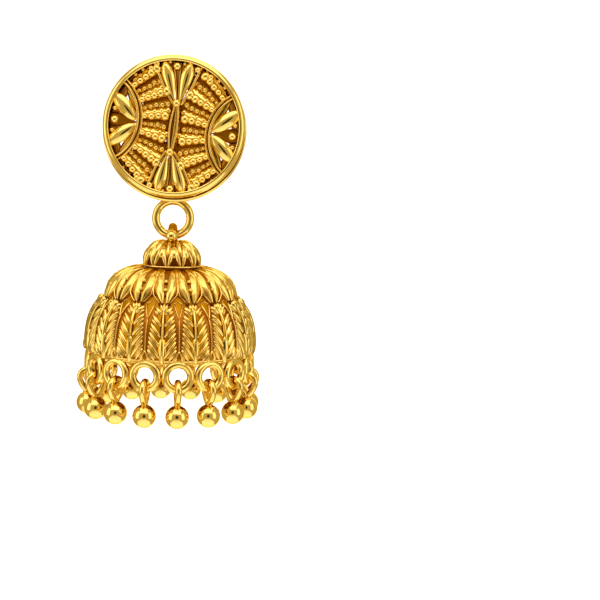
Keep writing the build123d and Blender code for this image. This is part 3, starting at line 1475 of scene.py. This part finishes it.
@dataclass
class Skirt:
    """Domed wall with sixteen wheat ears, smooth kites between them and small tents at the foot."""

    shop: GoldShop
    box: NodeBox = field(default_factory=lambda: NodeBox.read("bell_skirt"))
    tips: tuple[float, ...] = (1.15, 1.5, 1.7, 1.84, 1.92, 1.96, 1.96)
    first_tip: float = 0.5
    pitch: float = 1.16
    seed_of_chance: int = 23

    def __post_init__(self) -> None:
        """Work out the outline."""
        self.axis_y = self.box.centre.y
        foot, radius = self.box.low.z, self.box.size.x / 2
        self.dice = random.Random(self.seed_of_chance)
        self.dome = Dome(
            [
                (radius - 3.75, foot + 8.55),
                (radius - 3.45, foot + 8.1),
                (radius - 3.2, foot + 7.62),
                (radius - 2.5, foot + 7.0),
                (radius - 1.9, foot + 6.2),
                (radius - 1.28, foot + 5.0),
                (radius - 0.85, foot + 3.6),
                (radius - 0.62, foot + 2.1),
                (radius - 0.55, foot + 0.8),
                (radius - 0.55, foot - 0.25),
            ],
            self.axis_y,
        )
        self.head = self.dome.run_to(foot + 7.32)
        self.foot = self.dome.run_to(foot - 0.05)

    def build_wall(self) -> bpy.types.Object:
        """Spin the wall down to the skirt's foot.

        Returns:
            The finished piece.
        """
        wall = Casting("skirt_wall")
        end = self.dome.run_to(self.box.low.z + 0.02)
        outer = self.dome.points_to(end, 22)
        inner = [(r - 0.5, h) for r, h in reversed(outer)]
        # The whole wall is cast, so the piece has that one material, at index 0.
        wall.wall(outer + inner, self.axis_y, steps=128)
        return wall.finish("bell", [self.shop.cast], ["bell_skirt"])

    def draw_ear(self) -> bpy.types.Mesh:
        """Shape one wheat ear flat: spine, stepped barbs and a bud of fused lobes.

        Returns:
            A flat mesh in millimetres, its head at the start.
        """
        ear = Casting("ear")
        length = self.foot - self.head
        # The plate under the barbs takes the dark orange finish, painted as the shade between them.
        plate = Seed(
            length=length - 0.5, half_width=1.66, height=0.14, depth=0.1, ridge=6.0, fullness=0.4,
            belly=1.6, around=12, along=20,
        )
        ear.stamp(plate.draw(), lay((0, 0.5), (0, length)), relief=(0.7, 0.7), metal=Metal.SHADED_SATIN)
        # Dark strips standing a little over the plate paint the shade of the slits between barbs beside
        # the spine.
        slot_shade = Seed(
            length=length - 1.2, half_width=0.46, height=0.2, depth=0.1, ridge=6.0, fullness=0.3,
            belly=1.0, around=12, along=20,
        )
        ear.stamp(slot_shade.draw(), lay((0, 1.2), (0, length)), relief=(0.0, 0.0), metal=Metal.PAINTED_SHADE)
        spine = Seed(
            length=length - 0.9, half_width=0.23, height=0.6, depth=0.1, ridge=1.4, fullness=1,
            blunt=0.8, around=10, along=22,
        )
        ear.stamp(spine.draw(), lay((0, 0.9), (0, length)), relief=(0.5, 1))
        stout = Seed(
            length=3.9, half_width=0.62, height=0.6, depth=0.1, ridge=1.4, fullness=0.4, belly=0.9,
            around=12, along=16,
        )
        ear.stamp(stout.draw(), lay((0, length - 3.4), (0, length)), relief=(0.5, 1))
        for k, tip_x in enumerate(self.tips):
            self.add_barbs(ear, length, tip_x, k)
        bud = Seed(
            length=1.5, half_width=0.6, height=0.42, depth=0.1, ridge=2.5, fullness=0.5, belly=0.8,
            around=12, along=12,
        ).draw()
        ear.stamp(bud, lay((0, 1.45), (0, 0)), relief=(0.5, 1))
        lobe = Seed(
            length=1.5, half_width=0.3, height=0.64, depth=0.1, ridge=1.5, fullness=0.5, belly=1.6,
            around=10, along=10,
        ).draw()
        for lean, root in ((0, 1.5), (0.42, 1.55), (-0.42, 1.55)):
            ear.stamp(lobe, lay((lean * 0.2, root), (lean, root - 1.2)), relief=(0.5, 1))
        return to_mesh(ear.shape)

    def add_barbs(self, ear: Casting, length: float, tip_x: float, number: int) -> None:
        """Set one pair of barbs, each a bright ridge over a rougher step, whose low relief paints it
        darker as shade.

        Args:
            ear: the ear that they join.
            length: length of the ear.
            tip_x: how far the tips stand off the middle line.
            number: place of the pair, counted from the head.
        """
        slant = math.radians(41 - 10 * number / (len(self.tips) - 1))
        tip = (tip_x, self.first_tip + self.pitch * number)
        joint = tip[1] + (tip_x - 0.1) / math.tan(slant)
        over = max(joint - length, 0.0)
        foot = (0.1 + over * math.tan(slant), joint - over)
        reach = math.dist(foot, tip)
        ridge = Seed(
            length=reach + 0.1, half_width=0.31, height=0.48, depth=0.1, ridge=1.5, fullness=0.4,
            belly=1.1, around=8, along=9,
        ).draw()
        step = Seed(
            length=reach * 0.76, half_width=0.25, height=0.26, depth=0.1, ridge=2.0, fullness=0.5,
            belly=1.2, around=8, along=8,
        ).draw()
        across = Vector((math.cos(slant), math.sin(slant))) * 0.42
        for side in (1, -1):
            ends = [(side * x, y) for x, y in (foot, tip)]
            ear.stamp(ridge, lay(*ends), relief=(0.5, 1), metal=Metal.POLISHED)
            start = Vector(foot).lerp(Vector(tip), 0.12) + across
            stop = Vector(tip) + across
            below = [(side * spot.x, spot.y) for spot in (start, stop)]
            ear.stamp(step, lay(*below), relief=(0.2, 0.45), metal=Metal.CAST)

    def build_ears(self) -> bpy.types.Object:
        """Wrap the sixteen ears onto the wall.

        Returns:
            The finished piece.
        """
        ears = Casting("skirt_ears")
        ear = self.draw_ear()
        for k in range(REPEATS):
            place = self.dome.place(k * REPEAT_ANGLE, self.head + self.dice.uniform(-0.04, 0.04))
            self.stamp_with_relief(ears, ear, place)
        return ears.finish("bell", self.shop.set())

    @staticmethod
    def stamp_with_relief(casting: Casting, motif: bpy.types.Mesh, place: Place) -> None:
        """Add a motif that already carries its own relief.

        Args:
            casting: the piece that it joins.
            motif: a flat mesh in millimetres.
            place: where each of its points goes.
        """
        first = len(casting.shape.verts)
        casting.shape.from_mesh(motif)
        casting.shape.verts.ensure_lookup_table()
        for vert in casting.shape.verts[first:]:
            vert.co = place(vert.co)

    def build_gaps(self) -> bpy.types.Object:
        """Set a kite with its stem between ears and the tent below it.

        Returns:
            The finished piece.
        """
        gaps = Casting("skirt_kites")
        length = self.foot - self.head
        kite = Seed(
            length=2.9, half_width=0.56, height=0.14, depth=0.15, ridge=8.0, fullness=1.0,
            belly=0.42, around=16, along=24,
        ).draw()
        edge = Seed(
            length=2.5, half_width=0.08, height=0.34, depth=0.1, ridge=1.6, fullness=1, blunt=0.8,
            around=8, along=8,
        ).draw()
        brow = Seed(
            length=0.85, half_width=0.07, height=0.3, depth=0.1, ridge=1.6, fullness=1, blunt=0.8,
            around=8, along=6,
        ).draw()
        yoke = Seed(
            length=2.5, half_width=1.35, height=0.08, depth=0.15, ridge=8.0, fullness=0.6,
            belly=1.0, around=16, along=12,
        ).draw()
        stem = Seed(
            length=length - 3.2, half_width=0.11, height=0.32, depth=0.05, ridge=2.0, fullness=1,
            blunt=0.8, around=8, along=12,
        ).draw()
        leg = Seed(
            length=1.5, half_width=0.14, height=0.58, depth=0.1, ridge=2.0, fullness=1, blunt=0.8,
            around=8, along=10,
        ).draw()
        hollow_shade = Seed(
            length=1.65, half_width=0.66, height=0.16, depth=0.1, ridge=6.0, fullness=0.8,
            belly=1.6, around=12, along=12,
        ).draw()
        nook_shade = Seed(
            length=0.8, half_width=0.36, height=0.2, depth=0.1, ridge=4.0, fullness=0.4, around=10,
            along=8,
        ).draw()
        for k in range(REPEATS):
            angle = (k + 0.5) * REPEAT_ANGLE
            put = self.dome.place(angle, self.head)
            gaps.stamp(yoke, chain(shift(0, -1.85, 0.0), put), relief=(0.5, 0.5), metal=Metal.SHADED_SATIN)
            gaps.stamp(kite, chain(shift(0, -0.6, 0.1), put), relief=(1.0, 1.0), metal=Metal.SHADED_SATIN)
            for side in (1, -1):
                gaps.stamp(
                    edge,
                    chain(lay((side * 0.62, 0.05), (0, 2.45)), put),
                    relief=(0.6, 0.9),
                    metal=Metal.CAST,
                )
                gaps.stamp(
                    brow,
                    chain(lay((side * 0.62, 0.05), (0, -0.5)), put),
                    relief=(0.6, 0.9),
                    metal=Metal.CAST,
                )
            gaps.stamp(stem, chain(shift(0, 2.2, 0), put), relief=(0.2, 0.8), metal=Metal.CAST)
            # A dark plate paints the shade inside the tent.
            gaps.stamp(hollow_shade, chain(shift(0, length - 1.5, 0), put), relief=(0, 1), metal=Metal.PAINTED_SHADE)
            # Dark plates beside the ear heads paint the shade in the corners there.
            for side in (1, -1):
                gaps.stamp(
                    nook_shade, chain(shift(side * 1.3, -0.55, 0.04), put), relief=(0, 0), metal=Metal.PAINTED_SHADE
                )
            for side in (1, -1):
                slope = lay((0, length - 1.45), (side * 0.6, length))
                gaps.stamp(leg, chain(slope, put), relief=(0.4, 1.0))
        return gaps.finish("bell", self.shop.set())

    def build(self) -> None:
        """Make every piece of the skirt."""
        self.build_wall()
        self.build_ears()
        self.build_gaps()


@dataclass
class RingRow:
    """Double rim wire and its sixteen soldered rings."""

    shop: GoldShop
    box: NodeBox = field(default_factory=lambda: NodeBox.read("ring_row"))
    ring_wire: float = 0.53
    ring_radius: float = 1.73
    ring_sag: float = 0.12
    rim_wire: float = 0.15
    row_radius: float = 11.4

    def centre(self, k: float) -> Vector:
        """Find the middle of a ring.

        Args:
            k: its repeat number, from the front.

        Returns:
            The place in millimetres.
        """
        angle = k * REPEAT_ANGLE
        height = self.box.low.z + self.ring_radius + self.ring_wire - self.ring_sag
        axis_y = self.box.centre.y
        return Vector(
            (self.row_radius * math.sin(angle), axis_y - self.row_radius * math.cos(angle), height)
        )

    def build(self) -> None:
        """Spin the rim wires and the rings, and bridge neighbours with solder."""
        row = Casting("row_rings")
        top = self.box.high.z
        for radius, drop in ((11.66, -0.02), (11.5, 0.27)):
            centre = Vector((0, self.box.centre.y, top - drop))
            row.ring(centre, UP, radius=radius, wire=self.rim_wire, steps=160, sides=10)
        for k in range(REPEATS):
            middle = self.centre(k + 0.5)
            outward = Vector((middle.x, middle.y - self.box.centre.y, 0)).normalized()
            row.ring(middle, outward, radius=self.ring_radius, wire=self.ring_wire, steps=40, sides=14)
            bridge = self.centre(k)
            bridge.xy = (bridge.xy - Vector((0, self.box.centre.y))) * math.cos(REPEAT_ANGLE / 2)
            bridge.y += self.box.centre.y
            row.ball(bridge, radius=0.34, segments=12, relief=0.8)
        row.finish("bell", self.shop.set(), ["ring_row"])


@dataclass
class Drops:
    """Sixteen balls, each soldered under a teardrop wire eye."""

    shop: GoldShop
    row: RingRow
    wire: float = 0.44
    eye_radius: float = 1.19
    ball_radius: float = 1.6
    eye_rise: float = 0.22

    def outline(self, low: float, high: float) -> Line3:
        """Draw the teardrop line of one eye in its own plane, from its pinch round and back.

        Args:
            low: height of the drop's foot.
            high: height of the fixed node's top.

        Returns:
            The line of the wire's middle.
        """
        top = high + self.eye_rise - self.wire
        middle = top - self.eye_radius
        pinch = low + 2 * self.ball_radius - 0.35
        right = [
            (0.14, pinch),
            (0.24, pinch + 0.5),
            (0.82, middle - 1.0),
            (self.eye_radius, middle),
            (self.eye_radius * 0.72, middle + self.eye_radius * 0.7),
        ]
        return Line3([*right, (0, top), *[(-x, z) for x, z in reversed(right)]])

    def bend(self, line: Line3, ring: Vector, out: Vector) -> Place:
        """Bend a straight wire round an eye.

        Args:
            line: line of the wire's middle in the eye's own plane.
            ring: middle of the rim ring that the eye hangs from.
            out: level direction away from the bell's axis.

        Returns:
            A function from (across, along, out) to the bent wire.
        """
        side = out.cross(UP)

        def put(point: Vector) -> Vector:
            """Place one point.

            Args:
                point: across, along and out of the straight wire.

            Returns:
                Its place on the eye.
            """
            (x, z), (dx, dz) = line.at(point.y)
            level = Vector((ring.x, ring.y, 0)) + out * (x + dz * point.x)
            return level + Vector((0, 0, z - dx * point.x)) + side * point.z

        return put

    def build(self) -> None:
        """Make the drops, each a piece of its own."""
        for number in range(1, REPEATS + 1):
            node = f"drop_{number:02d}"
            box = NodeBox.read(node)
            drop = Casting(f"{node}_ball")
            line = self.outline(box.low.z, box.high.z)
            ring = self.row.centre(number - 0.5)
            centre_y = self.row.box.centre.y
            out = Vector((ring.x, ring.y - centre_y, 0)).normalized()
            motif = Seed(
                length=line.length, half_width=self.wire, height=self.wire, depth=self.wire,
                ridge=2, fullness=1, around=14, along=44,
            )
            drop.stamp(round_wire(motif), self.bend(line, ring, out), relief=(1, 1))
            middle = Vector((ring.x, ring.y, box.low.z + self.ball_radius))
            drop.ball(middle, radius=self.ball_radius, segments=40)
            drop.finish("bell", self.shop.set(), [node])


def round_wire(motif: Seed) -> bpy.types.Mesh:
    """Give a bar a truly round section.

    Args:
        motif: the bar's sizes.

    Returns:
        A flat mesh in millimetres along +Y.
    """
    shape = lying_ball(motif.around, motif.along)
    for vert in shape.verts:
        belt = math.hypot(vert.co.x, vert.co.z)
        scale = motif.half_width * min(1.0, belt * BLUNTING) / belt if belt > AT_POLE else 0.0
        angle_share = math.acos(min(max(-vert.co.y, -1), 1)) / math.pi
        vert.co = Vector((vert.co.x * scale, angle_share * motif.length, vert.co.z * scale))
    return to_mesh(shape)


# ---------------------------------------------------------------- setting


@dataclass
class Studio:
    """Pale floor and backdrop, soft lights and the camera.

    Attributes:
        distance: how far in front of the earring the camera stands, in millimetres.
        eye_x: how far it stands to the right, in millimetres.
        eye_z: how high it stands, in millimetres.
        pitch: how far it tips down.
        roll: how far it rolls.
        lens: its focal length.
        room_colour: colour of the room's own light.
        room_strength: strength of the room's own light.
    """

    distance: float = 200.0
    eye_x: float = 18.24
    eye_z: float = -1.5
    pitch: float = math.radians(6.27)
    roll: float = math.radians(2.0)
    lens: float = 85.6
    room_colour: tuple[float, float, float, float] = (1, 0.79, 0.42, 1)
    room_strength: float = 0.58

    def plain(self, name: str, grey: float, glow: float) -> bpy.types.Material:
        """Make a plain surface that may glow a little.

        Args:
            name: its name.
            grey: its grey level.
            glow: strength of its own light.

        Returns:
            The material.
        """
        recipe = Recipe(name)
        shader = recipe.node(
            "ShaderNodeBsdfPrincipled",
            {},
            {
                "Base Color": (grey, grey, grey, 1),
                "Roughness": 0.9,
                "Emission Color": (1, 1, 1, 1),
                "Emission Strength": glow,
            },
        )
        return recipe.close(shader)

    def sweep(self) -> None:
        """Bend the floor up into a backdrop."""
        shape = bmesh.new()
        width, floor, flat, bend, front_widening = 0.16, -0.3, 0.12, 0.14, 1.9
        points = [(-0.75, floor), (-flat, floor), (flat, floor)]
        points += [
            (flat + bend * math.sin(a), floor + bend * (1 - math.cos(a)))
            for a in np.linspace(0.15, math.pi / 2, 10)
        ]
        points += [(flat + bend, 0.6)]
        verts = [shape.verts.new((-width, y, z)) for y, z in points]
        edges = [shape.edges.new(pair) for pair in zip(verts, verts[1:])]
        made = bmesh.ops.extrude_edge_only(shape, edges=edges)
        moved = [item for item in made["geom"] if isinstance(item, bmesh.types.BMVert)]
        bmesh.ops.translate(shape, vec=(2 * width, 0, 0), verts=moved)
        front = [vert for vert in shape.verts if vert.co.y < 0]
        bmesh.ops.scale(shape, vec=(front_widening, 1, 1), verts=front)
        for face in shape.faces:
            face.smooth = True
        self.place_prop(to_mesh(shape, "floor_sweep"), self.plain("pale_paper", grey=0.8, glow=0.62))

    def place_prop(self, mesh: bpy.types.Mesh, material: bpy.types.Material) -> bpy.types.Object:
        """Stand a studio prop in the scene.

        Args:
            mesh: its finished mesh.
            material: its surface.

        Returns:
            The staged prop.
        """
        mesh.materials.append(material)
        prop = bpy.data.objects.new(mesh.name, mesh)
        bpy.context.scene.collection.objects.link(prop)
        return prop

    def dark_card(self) -> None:
        """Stand a small black card in front of the earring, unseen by the camera."""
        shape = bmesh.new()
        aim = Matrix.Rotation(math.pi / 2, 4, "X")
        bmesh.ops.create_circle(shape, cap_ends=True, segments=48, radius=0.06, matrix=aim)
        bmesh.ops.translate(shape, vec=(self.eye_x * MM, -0.23, 0), verts=shape.verts)
        card = self.place_prop(
            to_mesh(shape, "dark_card"), self.plain("black_card", grey=0.005, glow=0)
        )
        card.visible_camera = False

    def light(
        self, name: str, place: tuple[float, float, float], size: tuple[float, float], radiance: float
    ) -> None:
        """Hang a soft rectangular light that faces the earring.

        Args:
            name: its name.
            place: where it hangs, in metres.
            size: its width and height.
            radiance: how bright its face looks.
        """
        data = bpy.data.lights.new(name, "AREA")
        data.shape = "RECTANGLE"
        data.size, data.size_y = size
        data.energy = radiance * math.pi * size[0] * size[1]
        lamp = bpy.data.objects.new(name, data)
        lamp.location = place
        aim = Vector((0, 0, -0.02)) - Vector(place)
        lamp.rotation_euler = aim.to_track_quat("-Z", "Y").to_euler()
        bpy.context.scene.collection.objects.link(lamp)

    def camera(self) -> None:
        """Place the camera level with the stud, tipped down a little."""
        data = bpy.data.cameras.new("camera")
        data.lens = self.lens
        data.clip_start = 0.005
        cam = bpy.data.objects.new("camera", data)
        cam.location = Vector((self.eye_x, -self.distance, self.eye_z)) * MM
        tip = Matrix.Rotation(math.pi / 2 - self.pitch, 4, "X")
        cam.rotation_euler = (tip @ Matrix.Rotation(self.roll, 4, "Z")).to_euler()
        bpy.context.scene.collection.objects.link(cam)
        bpy.context.scene.camera = cam

    def build(self) -> None:
        """Set the room, the lights and the camera."""
        scene = bpy.context.scene
        scene.view_settings.view_transform = "Standard"
        world = bpy.data.worlds.new("room")
        scene.world = world
        world.use_nodes = True
        background = world.node_tree.nodes["Background"]
        background.inputs["Color"].default_value = self.room_colour
        background.inputs["Strength"].default_value = self.room_strength
        self.sweep()
        self.dark_card()
        self.light("key_box", place=(0.0, -0.17, 0.24), size=(0.46, 0.22), radiance=1.4)
        self.light("top_box", place=(0.0, 0.08, 0.36), size=(0.5, 0.3), radiance=1.0)
        self.light("left_box", place=(-0.3, -0.14, 0.03), size=(0.2, 0.34), radiance=1.1)
        self.light("right_box", place=(0.32, -0.14, 0.03), size=(0.2, 0.34), radiance=1.0)
        self.camera()


def dress_post(shop: GoldShop) -> None:
    """Give the fixed ear post its polished finish.

    Args:
        shop: the finishes.
    """
    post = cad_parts["ear_post"]
    post.data.materials.clear()
    post.data.materials.append(shop.polished)
    log.info("ear_post: %d faces", len(post.data.polygons))


def main() -> None:
    """Build the earring and its setting."""
    logging.basicConfig(level=logging.INFO)
    Studio().build()
    shop = GoldShop()
    Stud(shop).build()
    LinkRing(shop).build()
    dress_post(shop)
    Cap(shop).build()
    Crown(shop).build()
    Skirt(shop).build()
    row = RingRow(shop)
    row.build()
    Drops(shop, row).build()


if __name__ == "__main__":
    main()
